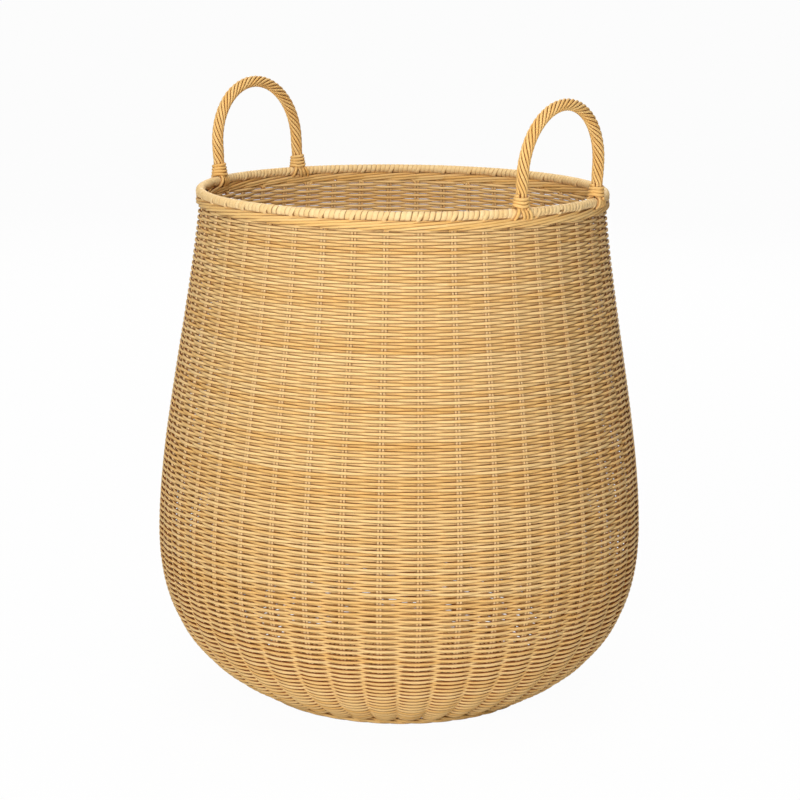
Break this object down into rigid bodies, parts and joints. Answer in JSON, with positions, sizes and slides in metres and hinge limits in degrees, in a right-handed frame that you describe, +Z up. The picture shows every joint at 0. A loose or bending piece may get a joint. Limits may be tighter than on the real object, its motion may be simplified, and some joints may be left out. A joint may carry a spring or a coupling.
{
  "type": "laundry basket",
  "caption": "Pear-shaped laundry basket of woven cane with a rolled foot, a bound rim hoop and twisted loop handles standing on the rim.",
  "frame": {"origin": "centre of the foot's underside, on the floor under the middle of the basket", "axes": "+Z up through the mouth, +X towards the middle of one handle and -X towards the other"},
  "size_m": [0.449, 0.45, 0.5642],
  "materials": {
    "woven_cane": "satin lacquer",
    "border_cane": "satin lacquer",
    "handle_cane": "satin lacquer",
    "core_cane": "matte",
    "peel": "satin lacquer"
  },
  "bodies": {
    "root": {"woven_base": "woven_cane", "foot_border": "border_cane", "woven_wall": "woven_cane", "top_border": "border_cane", "rim_hoop": "core_cane", "rim_binding": "peel", "right_handle_core": "core_cane", "right_handle_strand_1": "handle_cane", "right_handle_strand_2": "handle_cane", "right_handle_strand_3": "handle_cane", "right_handle_strand_4": "handle_cane", "right_handle_strand_5": "handle_cane", "right_handle_strand_6": "handle_cane", "right_handle_strand_7": "handle_cane", "right_handle_strand_8": "handle_cane", "right_handle_front_collar": "handle_cane", "right_handle_back_collar": "handle_cane", "left_handle_core": "core_cane", "left_handle_strand_1": "handle_cane", "left_handle_strand_2": "handle_cane", "left_handle_strand_3": "handle_cane", "left_handle_strand_4": "handle_cane", "left_handle_strand_5": "handle_cane", "left_handle_strand_6": "handle_cane", "left_handle_strand_7": "handle_cane", "left_handle_strand_8": "handle_cane", "left_handle_front_collar": "handle_cane", "left_handle_back_collar": "handle_cane"}
  },
  "joints": []
}
